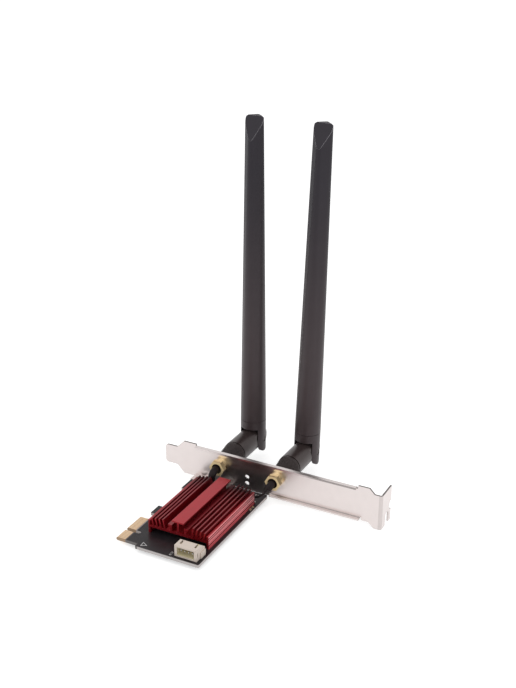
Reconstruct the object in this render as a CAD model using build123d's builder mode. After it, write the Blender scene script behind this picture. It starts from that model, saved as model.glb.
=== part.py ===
from build123d import *
import os
from math import cos, radians, sin, sqrt, tan

# A short wireless network card for a desktop computer, with two jointed antennas, in millimetres.
# The origin is the middle of the key notch, at the contact tips, half-way through the board.
# X runs from the contact tips to the bracket's screw tab, Y from the key notch out through the
# bracket, and Z up from the board on its component side.

os.makedirs("parts", exist_ok=True)

# Edge connector
contact_pitch = 1.0
contact_width = 0.7
contact_length = 4.4
contact_thickness = 0.08
contact_margin = 0.25
contact_setback = 0.05
front_contacts = 7
rear_contacts = 11
key_width = 1.9
key_depth = 8.25
tip_bevel = 0.45

# Board
board_thickness = 1.6
board_reach = 45.7
board_gap = 0.5
board_corner = 0.8
front_shoulder = 11.9
front_step = 2.3
rear_shoulder = 8.25
lug_gap = 5.5
lug_length = 7.2
lug_reach = 5.6
heel_length = 13.6
heel_reach = 4.6

# Bracket
bracket_face = 59.05
bracket_thickness = 0.86
bracket_length = 120.0
bracket_top = 106.0
bracket_width = 18.42
bracket_overlap = 0.24
bend_radius = 1.2
tongue_width = 10.19
tongue_length = 6.9
tongue_corner = 1.6
tab_depth = 12.4
tab_width = 18.4
tab_drop = 2.7
tab_shoulder = 3.9
tab_slot_width = 4.42
tab_slot_depth = 6.6
tab_slot_centre = 6.5
tab_notch_radius = 2.4
tab_notch_height = 8.2
flange_depth = 2.1
flange_drop = 0.5
flange_relief = 0.5
flange_leg = 2.0
flange_overlap = 1.0
upper_flange_start = 4.8
upper_flange_end = 93.0
lower_flange_start = 47.0
lower_flange_end = 95.0
indicator_hole = 2.3
indicator_reach = 33.7
indicator_height = 3.4
indicator_pitch = 3.6

# Ears of the bracket and their screws
ear_width = 7.0
ear_length = 5.6
ear_hole_inset = 2.9
ear_places = (7.4, 22.2)
screw_diameter = 3.0
screw_clearance = 0.2
screw_head_diameter = 5.4
screw_head_height = 1.8
screw_tip = 0.7
screw_socket_depth = 0.9
screw_socket_width = 0.8
screw_socket_length = 3.2

# Heat sink
sink_width = 32.6
sink_front = 2.5
sink_gap = 8.75
sink_centre = 27.35
sink_clearance = 3.1
sink_base = 1.1
skirt_height = 6.8
skirt_thickness = 1.1
groove_pitch = 1.2
groove_width = 0.5
groove_depth = 0.35
groove_count = 4
fin_count = 4
fin_pitch = 2.1
fin_thickness = 0.7
fin_lean = 13.0
fin_first = 7.0
fin_tallest = 9.0
fin_fall = 0.32
rib_offset = 3.85
rib_thickness = 1.0
rib_height = 7.5
rib_lip = 1.1
rib_lip_thickness = 0.8
stem_thickness = 1.0
plate_width = 6.3
plate_height = 10.1
plate_thickness = 0.75

# Radio module under the heat sink
radio_board_width = 24.0
radio_board_length = 28.0
radio_board_thickness = 0.8
shield_width = 21.0
shield_length = 24.0
shield_height = 1.3
shield_wall = 0.3
pad_margin = 1.5

# Miniature coaxial connectors
coax_inset = 6.6
coax_setback = 6.4
coax_gap = 3.0
coax_base = 3.0
coax_base_height = 0.4
coax_plug_diameter = 3.0
coax_plug_height = 1.7
coax_arm_length = 3.0
coax_arm_width = 1.8

# Leads and their sleeves
lead_diameter = 1.13
lead_height = 1.35
lead_clearance = 0.05
lead_sides = 8
lead_drop_share = 0.274
lead_bend = 2.7
sleeve_diameter = 3.8
sleeve_sides = 16
bend_share = 0.45

# Bulkhead jacks
jack_spacing = 31.4
jack_reach = 18.45
jack_height = 9.7
jack_thread = 6.3
jack_clearance = 0.1
jack_hex = 7.4
jack_hex_thickness = 2.6
jack_shoulder = 1.6
jack_recess = 1.8
jack_recess_diameter = 5.2
jack_length = 10.5
jack_bore = 4.7
jack_bore_depth = 6.6
jack_core_depth = 4.2
jack_pin_sides = 12
jack_pin_diameter = 1.9
jack_pin_bore = 1.4
jack_pin_length = 1.6
nut_hex = 8.0
nut_flange_diameter = 9.4
nut_flange = 0.6
nut_thickness = 2.6

# Antennas
coupling_gap = 0.6
coupling_front_diameter = 9.6
coupling_rear_diameter = 12.2
coupling_sides = 32
coupling_lip = 2.0
coupling_lip_diameter = 5.0
running_clearance = 0.1
face_clearance = 0.3
barrel_diameter = 12.2
barrel_flange = 1.1
barrel_contact_diameter = 1.27
barrel_contact_length = 4.2
barrel_contact_seat = 6.0
hinge_reach = 35.2
hinge_pin_diameter = 3.0
pin_clearance = 0.05
hinge_tongue = 9.4
tongue_margin = 0.3
ear_clearance = 0.3
mast_foot_diameter = 13.4
mast_corner_facets = 10
mast_tip_side = 7.8
mast_tip_corner = 1.7
mast_tip_bevel = 0.8
mast_length = 171.0
mast_wall = 1.5
mast_seam = 11.0
seam_groove = 0.25
mast_tip_slope = 63.5
mast_tip_land = 0.75
knuckle_drop = 6.7
spigot_length = 8.0
spigot_clearance = 0.05
radiator_sides = 12
radiator_sleeve_diameter = 3.6
radiator_sleeve_length = 62.0
radiator_rod_diameter = 1.2
radiator_rod_length = 28.0
antenna_leans = {"left": 0.0, "right": 1.5}

# Four-pin header
header_width = 11.5
header_right = 43.7
header_front = 8.8
header_top_length = 5.4
header_heel_length = 2.3
header_height = 5.8
header_heel_height = 4.1
header_wall = 0.9
header_side_wall = 1.3
header_back_wall = 2.2
header_slot_width = 1.0
header_slot_depth = 2.4
header_slot_inset = 1.9
header_slot_share = 0.62
header_ridge = 0.5
header_ridge_share = 0.55
header_ridge_height = 3.0
header_window_width = 0.6
header_window_height = 2.2
header_window_inset = 0.9
header_pin_count = 4
header_pin_pitch = 2.0
header_pin_size = 0.5
header_pin_height = 2.9
header_pin_reach = 4.2
header_pin_tail = 1.2

# Small parts at the board's right edge
chip_length = 1.6
chip_width = 0.8
chip_height = 0.7
chip_places = ((3.1, 9.4, 0), (1.2, 14.2, 90), (1.2, 16.6, 90), (4.2, 3.6, 0))

# Places worked out from the sizes above
board_top = board_thickness / 2
board_rear = bracket_face - board_gap
front_span = (front_contacts - 1) * contact_pitch + contact_width + 2 * contact_margin
rear_span = (rear_contacts - 1) * contact_pitch + contact_width + 2 * contact_margin
tongue_front = -key_width / 2 - front_span
tongue_rear = key_width / 2 + rear_span
board_front = tongue_front - front_step
lug_start = tongue_rear + lug_gap
bracket_outside = bracket_face + bracket_thickness
bracket_lower = board_top - bracket_overlap
bracket_upper = bracket_lower + bracket_width
bracket_middle = bracket_lower + bracket_width / 2
bracket_tip = bracket_top - bracket_length
ear_hole_place = bracket_face - ear_hole_inset
jack_axis = board_top + jack_height
jack_places = {"left": jack_reach, "right": jack_reach + jack_spacing}
jack_front = bracket_face - jack_shoulder - jack_hex_thickness
jack_inside = jack_front + jack_recess
sink_rear = jack_inside - sink_gap
sink_underside = board_top + sink_clearance
coax_reach = sink_rear - coax_setback
radio_front = coax_reach - coax_base / 2 - coax_gap - radio_board_length
lead_level = board_top + lead_height
lead_drop = sink_rear + lead_drop_share * sink_gap
coax_places = {
    "left": sink_centre - sink_width / 2 + coax_inset,
    "right": sink_centre + sink_width / 2 - coax_inset,
}

# Board: outline with contact tongue, lug and heel along its lower edge
with BuildPart() as pcb:
    with BuildSketch(Plane.XY.offset(-board_top)) as outline:
        with BuildLine():
            Polyline(
                (0, tongue_front),
                (front_shoulder, tongue_front),
                (front_shoulder, board_front),
                (board_reach, board_front),
                (board_reach, board_rear),
                (rear_shoulder - heel_reach, board_rear),
                (rear_shoulder - heel_reach, board_rear - heel_length),
                (rear_shoulder, board_rear - heel_length),
                (rear_shoulder, lug_start + lug_length),
                (rear_shoulder - lug_reach, lug_start + lug_length),
                (rear_shoulder - lug_reach, lug_start),
                (rear_shoulder, lug_start),
                (rear_shoulder, tongue_rear),
                (0, tongue_rear),
                close=True,
            )
        make_face()
        fillet(outline.vertices().group_by(Axis.X)[-1], board_corner)
        with Locations((key_depth - key_width / 2, 0)):
            Circle(key_width / 2, mode=Mode.SUBTRACT)
        with Locations(((key_depth - key_width / 2) / 2, 0)):
            Rectangle(key_depth - key_width / 2, key_width, mode=Mode.SUBTRACT)
        with Locations([(place, ear_hole_place) for place in ear_places]):
            Circle(screw_diameter / 2 + screw_clearance, mode=Mode.SUBTRACT)
    extrude(amount=board_thickness)
    chamfer(pcb.edges().filter_by(Axis.Y).group_by(Axis.X)[0], tip_bevel)
pcb.part.label = "pcb"
export_step(pcb.part, "parts/pcb.step")

# Gold contacts on both faces of the tongue, front and rear of the key
with BuildPart() as edge_contacts:
    for side in (1, -1):
        with BuildSketch(Plane.XY.offset(side * board_top)):
            contact_middle = tip_bevel + contact_setback + contact_length / 2
            with Locations((contact_middle, -key_width / 2 - front_span / 2)):
                with GridLocations(contact_length, contact_pitch, 1, front_contacts):
                    Rectangle(contact_length, contact_width)
            with Locations((contact_middle, key_width / 2 + rear_span / 2)):
                with GridLocations(contact_length, contact_pitch, 1, rear_contacts):
                    Rectangle(contact_length, contact_width)
        extrude(amount=side * contact_thickness)
edge_contacts.part.label = "edge_contacts"
export_step(edge_contacts.part, "parts/edge_contacts.step")

# Bracket: one folded plate with a tongue, a screw tab, two edge flanges and two ears
tongue_slant = (bracket_width - tongue_width) / 2
tongue_root = bracket_tip + tongue_length
tab_lower = bracket_lower - tab_drop
tab_upper = tab_lower + tab_width
tab_slant_lower = bracket_lower - tab_lower
tab_slant_upper = bracket_upper - tab_upper
flanges = (
    (upper_flange_start, upper_flange_end, bracket_upper - flange_drop, 1),
    (lower_flange_start, lower_flange_end, bracket_lower + flange_drop, -1),
)
with BuildPart() as bracket:
    with BuildSketch(Plane.XZ.offset(-bracket_face)) as plate:
        with BuildLine():
            Polyline(
                (bracket_tip, bracket_middle - tongue_width / 2),
                (tongue_root, bracket_middle - tongue_width / 2),
                (tongue_root + tongue_slant, bracket_lower),
                (bracket_top - tab_shoulder - tab_slant_lower, bracket_lower),
                (bracket_top - tab_shoulder, tab_lower),
                (bracket_top - bend_radius, tab_lower),
                (bracket_top - bend_radius, tab_upper),
                (bracket_top - tab_shoulder, tab_upper),
                (bracket_top - tab_shoulder - tab_slant_upper, bracket_upper),
                (tongue_root + tongue_slant, bracket_upper),
                (tongue_root, bracket_middle + tongue_width / 2),
                (bracket_tip, bracket_middle + tongue_width / 2),
                close=True,
            )
        make_face()
        fillet(plate.vertices().group_by(Axis.X)[0], tongue_corner)
        for start, end, level, way in flanges:
            cut_depth = flange_drop + flange_leg - flange_overlap
            with Locations(((start + end) / 2, level + way * (flange_drop - cut_depth / 2))):
                Rectangle(end - start + 2 * flange_relief, cut_depth, mode=Mode.SUBTRACT)
        with Locations([(place, jack_axis) for place in jack_places.values()]):
            Circle(jack_thread / 2 + jack_clearance, mode=Mode.SUBTRACT)
        with Locations((indicator_reach, board_top + indicator_height + indicator_pitch / 2)):
            with GridLocations(indicator_pitch, indicator_pitch, 1, 2):
                Circle(indicator_hole / 2, mode=Mode.SUBTRACT)
    extrude(amount=-bracket_thickness)
    # Edge flanges, each an angle with a round bend
    for start, end, level, way in flanges:
        with BuildSketch(Plane.YZ.offset(start)) as angle:
            with BuildLine():
                Polyline(
                    (bracket_outside, level),
                    (bracket_face - flange_depth, level),
                    (bracket_face - flange_depth, level - way * bracket_thickness),
                    (bracket_face, level - way * bracket_thickness),
                    (bracket_face, level - way * flange_leg),
                    (bracket_outside, level - way * flange_leg),
                    close=True,
                )
            make_face()
            inner_place = (bracket_face, level - way * bracket_thickness)
            fillet(angle.vertices().sort_by_distance((bracket_outside, level))[0], bend_radius)
            fillet(angle.vertices().sort_by_distance(inner_place)[0], bend_radius - bracket_thickness)
        extrude(amount=end - start)
    # Screw tab, bent outward, with its open slot and its notch
    with BuildSketch(Plane.XY.offset(tab_lower)) as tab:
        with BuildLine():
            Polyline(
                (bracket_top, bracket_face),
                (bracket_top, bracket_face + tab_depth),
                (bracket_top - bracket_thickness, bracket_face + tab_depth),
                (bracket_top - bracket_thickness, bracket_outside),
                (bracket_top - tab_shoulder, bracket_outside),
                (bracket_top - tab_shoulder, bracket_face),
                close=True,
            )
        make_face()
        inner_place = (bracket_top - bracket_thickness, bracket_outside)
        fillet(tab.vertices().sort_by_distance((bracket_top, bracket_face))[0], bend_radius)
        fillet(tab.vertices().sort_by_distance(inner_place)[0], bend_radius - bracket_thickness)
    extrude(amount=tab_width)
    with BuildSketch(Plane.YZ.offset(bracket_top)):
        with Locations((bracket_outside + tab_slot_centre, tab_lower + tab_slot_depth - tab_slot_width / 2)):
            Circle(tab_slot_width / 2)
        slot_run = tab_slot_depth - tab_slot_width / 2
        with Locations((bracket_outside + tab_slot_centre, tab_lower + slot_run / 2)):
            Rectangle(tab_slot_width, slot_run)
        with Locations((bracket_face + tab_depth, tab_lower + tab_notch_height)):
            Circle(tab_notch_radius)
    extrude(amount=-bracket_thickness, mode=Mode.SUBTRACT)
    # Ears that lie on the board
    with BuildSketch(Plane.XY.offset(board_top)):
        ear_span = ear_length + bracket_thickness / 2
        with Locations([(place, bracket_face - ear_length + ear_span / 2) for place in ear_places]):
            Rectangle(ear_width, ear_span)
        with Locations([(place, ear_hole_place) for place in ear_places]):
            Circle(screw_diameter / 2 + screw_clearance, mode=Mode.SUBTRACT)
    extrude(amount=bracket_thickness)
bracket.part.label = "bracket"
export_step(bracket.part, "parts/bracket.step")

# Screws from below, through the board into the ears
with BuildPart() as bracket_screws:
    with BuildSketch(Plane.XY.offset(-board_top)):
        with Locations([(place, ear_hole_place) for place in ear_places]):
            Circle(screw_diameter / 2)
    extrude(amount=board_thickness + bracket_thickness + screw_tip)
    with BuildSketch(Plane.XY.offset(-board_top)):
        with Locations([(place, ear_hole_place) for place in ear_places]):
            Circle(screw_head_diameter / 2)
    extrude(amount=-screw_head_height)
    with BuildSketch(Plane.XY.offset(-board_top - screw_head_height)):
        with Locations([(place, ear_hole_place) for place in ear_places]):
            Rectangle(screw_socket_length, screw_socket_width)
            Rectangle(screw_socket_width, screw_socket_length)
    extrude(amount=screw_socket_depth, mode=Mode.SUBTRACT)
bracket_screws.part.label = "bracket_screws"
export_step(bracket_screws.part, "parts/bracket_screws.step")

# Heat sink: one extrusion with skirts, splayed fins, lipped ribs and a central T
with BuildPart() as heat_sink:
    section = Plane((sink_centre, sink_front, board_top), x_dir=(1, 0, 0), z_dir=(0, -1, 0))
    base_middle = sink_clearance + sink_base / 2
    with BuildSketch(section) as sink_section:
        with Locations((0, base_middle)):
            Rectangle(sink_width, sink_base)
        with Locations((sink_width / 2 - skirt_thickness / 2, skirt_height / 2)):
            Rectangle(skirt_thickness, skirt_height)
        for fin in range(fin_count):
            foot = fin_first + fin * fin_pitch
            crest = fin_tallest - fin * fin_fall
            reach = tan(radians(fin_lean)) * (crest - base_middle)
            with BuildLine():
                Polyline(
                    (foot - fin_thickness / 2, base_middle),
                    (foot + fin_thickness / 2, base_middle),
                    (foot + fin_thickness / 2 + reach, crest),
                    (foot - fin_thickness / 2 + reach, crest),
                    close=True,
                )
            make_face()
        with Locations((rib_offset, (base_middle + rib_height) / 2)):
            Rectangle(rib_thickness, rib_height - base_middle)
        with Locations((rib_offset + rib_lip / 2, rib_height - rib_lip_thickness / 2)):
            Rectangle(rib_thickness + rib_lip, rib_lip_thickness)
        for groove in range(groove_count):
            with Locations((sink_width / 2, skirt_height - (groove + 1) * groove_pitch)):
                Rectangle(2 * groove_depth, groove_width, mode=Mode.SUBTRACT)
        mirror(about=Plane.YZ)
        with Locations((0, (base_middle + plate_height) / 2)):
            Rectangle(stem_thickness, plate_height - base_middle)
        with Locations((0, plate_height - plate_thickness / 2)):
            Rectangle(plate_width, plate_thickness)
    extrude(amount=sink_front - sink_rear)
heat_sink.part.label = "heat_sink"
export_step(heat_sink.part, "parts/heat_sink.step")

# Radio module: its own small board, a thin-walled can and the pad that meets the heat sink
radio_middle = radio_front + radio_board_length / 2
with BuildPart() as radio_board:
    with BuildSketch(Plane.XY.offset(board_top)):
        with Locations((sink_centre, radio_middle)):
            Rectangle(radio_board_width, radio_board_length)
    extrude(amount=radio_board_thickness)
radio_board.part.label = "radio_board"
export_step(radio_board.part, "parts/radio_board.step")

shield_floor = board_top + radio_board_thickness
with BuildPart() as radio_shield:
    with BuildSketch(Plane.XY.offset(shield_floor)):
        with Locations((sink_centre, radio_middle)):
            Rectangle(shield_width, shield_length)
    extrude(amount=shield_height)
    with BuildSketch(Plane.XY.offset(shield_floor)):
        with Locations((sink_centre, radio_middle)):
            Rectangle(shield_width - 2 * shield_wall, shield_length - 2 * shield_wall)
    extrude(amount=shield_height - shield_wall, mode=Mode.SUBTRACT)
radio_shield.part.label = "radio_shield"
export_step(radio_shield.part, "parts/radio_shield.step")

with BuildPart() as thermal_pad:
    with BuildSketch(Plane.XY.offset(shield_floor + shield_height)):
        with Locations((sink_centre, radio_middle)):
            Rectangle(shield_width - 2 * pad_margin, shield_length - 2 * pad_margin)
    extrude(amount=sink_underside - shield_floor - shield_height)
thermal_pad.part.label = "thermal_pad"
export_step(thermal_pad.part, "parts/thermal_pad.step")

# Miniature coaxial sockets on the board
with BuildPart() as coax_sockets:
    with BuildSketch(Plane.XY.offset(board_top)):
        with Locations([(place, coax_reach) for place in coax_places.values()]):
            Rectangle(coax_base, coax_base)
    extrude(amount=coax_base_height)
coax_sockets.part.label = "coax_sockets"
export_step(coax_sockets.part, "parts/coax_sockets.step")

# Routes of the leads, from the jacks down and under the heat sink to their plugs
lead_finish = coax_reach + coax_arm_length
route_points = {
    "left": [
        (jack_places["left"], jack_inside, jack_axis),
        (jack_places["left"], lead_drop, jack_axis),
        (coax_places["left"], lead_drop, lead_level),
        (coax_places["left"], lead_finish, lead_level),
    ],
    "right": [
        (jack_places["right"], jack_inside, jack_axis),
        (jack_places["right"], (jack_inside + lead_drop) / 2, jack_axis),
        (jack_places["right"] - lead_bend, lead_drop, jack_axis - 2 * lead_bend),
        (coax_places["right"] + lead_bend, lead_drop, lead_level),
        (coax_places["right"], (lead_drop + lead_finish) / 2, lead_level),
        (coax_places["right"], lead_finish, lead_level),
    ],
}


# Room that the runs beside each corner of a route leave for its bend
def bend_rooms(points):
    rooms = []
    for before, corner, after in zip(points, points[1:], points[2:]):
        shorter = min((Vector(corner) - Vector(before)).length, (Vector(after) - Vector(corner)).length)
        rooms.append(bend_share * shorter)
    return rooms


# Largest radius that fits in the room at each corner
def bend_radii(points):
    radii = []
    for room, before, corner, after in zip(bend_rooms(points), points, points[1:], points[2:]):
        turn = (Vector(corner) - Vector(before)).get_angle(Vector(after) - Vector(corner))
        radii.append(room / tan(radians(turn) / 2))
    return radii


for side, points in route_points.items():
    radii = bend_radii(points)
    jack_x = jack_places[side]
    coax_x = coax_places[side]

    # Lead, whole from jack to plug
    with BuildPart() as lead:
        with BuildLine() as route:
            FilletPolyline(*points, radius=radii)
        with BuildSketch(Plane.XZ.offset(-jack_inside)):
            with Locations((jack_x, jack_axis)):
                RegularPolygon(lead_diameter / 2, lead_sides)
        sweep(path=route.wires()[0])
    print(side, "lead radii", [round(radius, 2) for radius in radii], "length", round(route.wires()[0].length, 2))
    lead.part.label = f"{side}_lead"
    export_step(lead.part, f"parts/{side}_lead.step")

    # Sleeve over the lead's first bend, ending on the straight run behind it
    rooms = bend_rooms(points)
    first_run = Vector(points[2]) - Vector(points[1])
    sleeve_reach = (rooms[0] + first_run.length - rooms[1]) / 2
    sleeve_end = Vector(points[1]) + first_run.normalized() * sleeve_reach
    with BuildPart() as sleeve:
        with BuildLine() as sleeve_route:
            FilletPolyline((jack_x, jack_inside, jack_axis), points[1], sleeve_end, radius=radii[0])
        with BuildSketch(Plane.XZ.offset(-jack_inside)):
            with Locations((jack_x, jack_axis)):
                RegularPolygon(sleeve_diameter / 2, sleeve_sides)
                RegularPolygon(lead_diameter / 2 + lead_clearance, lead_sides, mode=Mode.SUBTRACT)
        sweep(path=sleeve_route.wires()[0])
    sleeve.part.label = f"{side}_sleeve"
    export_step(sleeve.part, f"parts/{side}_sleeve.step")

    # Plug on the board's socket, its arm towards the lead
    plug_floor = board_top + coax_base_height
    with BuildPart() as coax_plug:
        with BuildSketch(Plane.XY.offset(plug_floor)):
            with Locations((coax_x, coax_reach)):
                Circle(coax_plug_diameter / 2)
            with Locations((coax_x, coax_reach + coax_arm_length / 2)):
                Rectangle(coax_arm_width, coax_arm_length)
        extrude(amount=coax_plug_height)
    coax_plug.part.label = f"{side}_coax_plug"
    export_step(coax_plug.part, f"parts/{side}_coax_plug.step")

    # Bulkhead jack: shoulder and recessed hexagon inside the bracket, threaded barrel through it
    with BuildPart() as jack:
        with BuildSketch(Plane.XZ.offset(-bracket_face)):
            with Locations((jack_x, jack_axis)):
                Circle(jack_hex / 2)
        extrude(amount=jack_shoulder)
        with BuildSketch(Plane.XZ.offset(-jack_front)):
            with Locations((jack_x, jack_axis)):
                RegularPolygon(jack_hex / 2, 6, major_radius=False)
        extrude(amount=-jack_hex_thickness)
        with BuildSketch(Plane.XZ.offset(-jack_front)):
            with Locations((jack_x, jack_axis)):
                Circle(jack_recess_diameter / 2)
        extrude(amount=-jack_recess, mode=Mode.SUBTRACT)
        with BuildSketch(Plane.XZ.offset(-bracket_face)):
            with Locations((jack_x, jack_axis)):
                Circle(jack_thread / 2)
        extrude(amount=-bracket_thickness - jack_length)
        with BuildSketch(Plane.XZ.offset(-bracket_outside - jack_length)):
            with Locations((jack_x, jack_axis)):
                Circle(jack_bore / 2)
        extrude(amount=jack_bore_depth, mode=Mode.SUBTRACT)
    jack.part.label = f"{side}_jack"
    export_step(jack.part, f"parts/{side}_jack.step")

# Insulators at the bottom of the jacks' bores, and the hollow contacts on them
core_floor = bracket_outside + jack_length - jack_bore_depth
core_height = jack_bore_depth - jack_core_depth
with BuildPart() as jack_cores:
    with BuildSketch(Plane.XZ.offset(-core_floor)):
        with Locations([(place, jack_axis) for place in jack_places.values()]):
            Circle(jack_bore / 2)
    extrude(amount=-core_height)
jack_cores.part.label = "jack_cores"
export_step(jack_cores.part, "parts/jack_cores.step")

with BuildPart() as jack_pins:
    with BuildSketch(Plane.XZ.offset(-core_floor - core_height)):
        with Locations([(place, jack_axis) for place in jack_places.values()]):
            RegularPolygon(jack_pin_diameter / 2, jack_pin_sides)
            RegularPolygon(jack_pin_bore / 2, jack_pin_sides, mode=Mode.SUBTRACT)
    extrude(amount=-jack_pin_length)
jack_pins.part.label = "jack_pins"
export_step(jack_pins.part, "parts/jack_pins.step")

# Flanged nuts outside the bracket
with BuildPart() as jack_nuts:
    with BuildSketch(Plane.XZ.offset(-bracket_outside)):
        with Locations([(place, jack_axis) for place in jack_places.values()]):
            RegularPolygon(nut_hex / 2, 6, major_radius=False)
    extrude(amount=-nut_thickness)
    with BuildSketch(Plane.XZ.offset(-bracket_outside)):
        with Locations([(place, jack_axis) for place in jack_places.values()]):
            Circle(nut_flange_diameter / 2)
    extrude(amount=-nut_flange)
    with BuildSketch(Plane.XZ.offset(-bracket_outside)):
        with Locations([(place, jack_axis) for place in jack_places.values()]):
            Circle(jack_thread / 2)
    extrude(amount=-nut_thickness, mode=Mode.SUBTRACT)
jack_nuts.part.label = "jack_nuts"
export_step(jack_nuts.part, "parts/jack_nuts.step")

# Antennas: coupling nut, barrel and contact on the jack's axis, knuckle and mast above the hinge
coupling_start = bracket_outside + nut_thickness + coupling_gap
barrel_seat = bracket_outside + jack_length + face_clearance
lip_start = barrel_seat + barrel_flange + face_clearance
coupling_end = lip_start + coupling_lip
barrel_start = coupling_end + face_clearance
hinge_place = bracket_outside + hinge_reach
tongue_start = hinge_place - mast_foot_diameter / 2 - ear_clearance
ear_gap = hinge_tongue / 2 + ear_clearance
tongue_round = barrel_diameter / 2 + tongue_margin
knuckle_ceiling = tongue_round + ear_clearance
seam_radius = mast_foot_diameter / 2
spigot_radius = seam_radius - mast_wall - spigot_clearance
foot_round = sqrt((mast_foot_diameter / 2) ** 2 - ear_gap**2)
tip_slope = radians(mast_tip_slope)
tip_reach = sqrt(2) * (mast_tip_side / 2 - mast_tip_corner) + mast_tip_corner
cavity_top = mast_length - (mast_tip_land + tip_reach) * tan(tip_slope) - mast_wall


# Points round a square with rounded corners, the corners along and across the hinge, each of equal facets
def rounded_square(side, corner):
    facet = 90 / mast_corner_facets
    arm = sqrt(2) * (side / 2 - corner)
    reach = corner / cos(radians(facet / 2))
    points = []
    for turn in range(0, 360, 90):
        for step in range(mast_corner_facets):
            corner_x = arm * cos(radians(turn))
            corner_y = arm * sin(radians(turn))
            angle = radians(turn - 45 + (step + 1 / 2) * facet)
            points.append((corner_x + reach * cos(angle), corner_y + reach * sin(angle)))
    return points


for side, jack_x in jack_places.items():
    lean = radians(antenna_leans[side])
    hinge_axis = (cos(lean), 0, -sin(lean))
    mast_axis = (sin(lean), 0, cos(lean))
    hinge = Plane((jack_x, hinge_place, jack_axis), x_dir=hinge_axis, z_dir=mast_axis)
    half_section = Plane((jack_x, 0, jack_axis), x_dir=(0, 1, 0), z_dir=(1, 0, 0))
    side_view = Plane((jack_x, hinge_place, jack_axis), x_dir=(0, 1, 0), z_dir=hinge_axis)
    barrel_axis = Axis((jack_x, 0, jack_axis), (0, 1, 0))
    mast_line = Axis((jack_x, hinge_place, jack_axis), mast_axis)

    # Coupling nut: tapered outside in facets, threaded bore and a lip behind the barrel's flange
    with BuildPart() as coupling_nut:
        for place, diameter in (
            (coupling_start, coupling_front_diameter),
            (coupling_end, coupling_rear_diameter),
        ):
            with BuildSketch(Plane.XZ.offset(-place)):
                with Locations((jack_x, jack_axis)):
                    RegularPolygon(diameter / 2, coupling_sides)
        loft(ruled=True)
        for start, end, diameter in (
            (coupling_start, lip_start, jack_thread),
            (lip_start, coupling_end, coupling_lip_diameter),
        ):
            with BuildSketch(Plane.XZ.offset(-start)):
                with Locations((jack_x, jack_axis)):
                    Circle(diameter / 2 + running_clearance)
            extrude(amount=start - end, mode=Mode.SUBTRACT)
    coupling_nut.part.label = f"{side}_coupling_nut"
    export_step(coupling_nut.part, f"parts/{side}_coupling_nut.step")

    # Barrel: flange inside the nut, round body, flat-sided tongue round the hinge pin
    with BuildPart() as barrel:
        with BuildSketch(half_section):
            with BuildLine():
                Polyline(
                    (barrel_seat, barrel_contact_diameter / 2),
                    (barrel_seat, jack_thread / 2),
                    (barrel_seat + barrel_flange, jack_thread / 2),
                    (barrel_seat + barrel_flange, coupling_lip_diameter / 2),
                    (barrel_start, coupling_lip_diameter / 2),
                    (barrel_start, barrel_diameter / 2),
                    (hinge_place + tongue_round, barrel_diameter / 2),
                    (hinge_place + tongue_round, 0),
                    (barrel_seat + barrel_contact_seat, 0),
                    (barrel_seat + barrel_contact_seat, barrel_contact_diameter / 2),
                    close=True,
                )
            make_face()
        revolve(axis=barrel_axis)
        with BuildSketch(side_view):
            with Locations((tongue_round / 2, 0)):
                Rectangle(tongue_round, 2 * barrel_diameter)
            Circle(tongue_round, mode=Mode.SUBTRACT)
        extrude(amount=barrel_diameter, both=True, mode=Mode.SUBTRACT)
        with BuildSketch(hinge):
            flat_length = hinge_place - tongue_start + barrel_diameter
            flat_middle = tongue_start - hinge_place + flat_length / 2
            for flank in (1, -1):
                with Locations((flank * (hinge_tongue + barrel_diameter) / 2, flat_middle)):
                    Rectangle(barrel_diameter, flat_length)
        extrude(amount=barrel_diameter, both=True, mode=Mode.SUBTRACT)
        with BuildSketch(side_view):
            Circle(hinge_pin_diameter / 2 + pin_clearance)
        extrude(amount=barrel_diameter, both=True, mode=Mode.SUBTRACT)
    barrel.part.label = f"{side}_barrel"
    export_step(barrel.part, f"parts/{side}_barrel.step")

    # Contact in the barrel, reaching into the jack
    with BuildPart() as contact:
        with BuildSketch(Plane.XZ.offset(-barrel_seat - barrel_contact_seat)):
            with Locations((jack_x, jack_axis)):
                Circle(barrel_contact_diameter / 2)
        extrude(amount=barrel_contact_seat + barrel_contact_length)
    contact.part.label = f"{side}_contact"
    export_step(contact.part, f"parts/{side}_contact.step")

    # Knuckle: two ears beside the barrel's tongue, and a spigot for the mast
    with BuildPart() as knuckle:
        with BuildSketch(side_view):
            with BuildLine():
                Polyline(
                    (0, -knuckle_drop),
                    (seam_radius, -knuckle_drop),
                    (seam_radius, mast_seam),
                    (spigot_radius, mast_seam),
                    (spigot_radius, mast_seam + spigot_length),
                    (0, mast_seam + spigot_length),
                    close=True,
                )
            make_face()
        revolve(axis=mast_line)
        with BuildSketch(side_view):
            with Locations((0, (knuckle_ceiling - knuckle_drop) / 2)):
                Rectangle(mast_foot_diameter, knuckle_ceiling + knuckle_drop)
        extrude(amount=ear_gap, both=True, mode=Mode.SUBTRACT)
        with BuildSketch(side_view):
            with Locations((0, -knuckle_drop / 2)):
                Rectangle(mast_foot_diameter, knuckle_drop)
            with Locations((0, foot_round - knuckle_drop)):
                Circle(foot_round, mode=Mode.SUBTRACT)
            with Locations((0, (foot_round - knuckle_drop) / 2)):
                Rectangle(2 * foot_round, knuckle_drop - foot_round, mode=Mode.SUBTRACT)
        extrude(amount=mast_foot_diameter, both=True, mode=Mode.SUBTRACT)
        with BuildSketch(side_view):
            Circle(hinge_pin_diameter / 2)
        extrude(amount=mast_foot_diameter, both=True, mode=Mode.SUBTRACT)
    knuckle.part.label = f"{side}_knuckle"
    export_step(knuckle.part, f"parts/{side}_knuckle.step")

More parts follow.
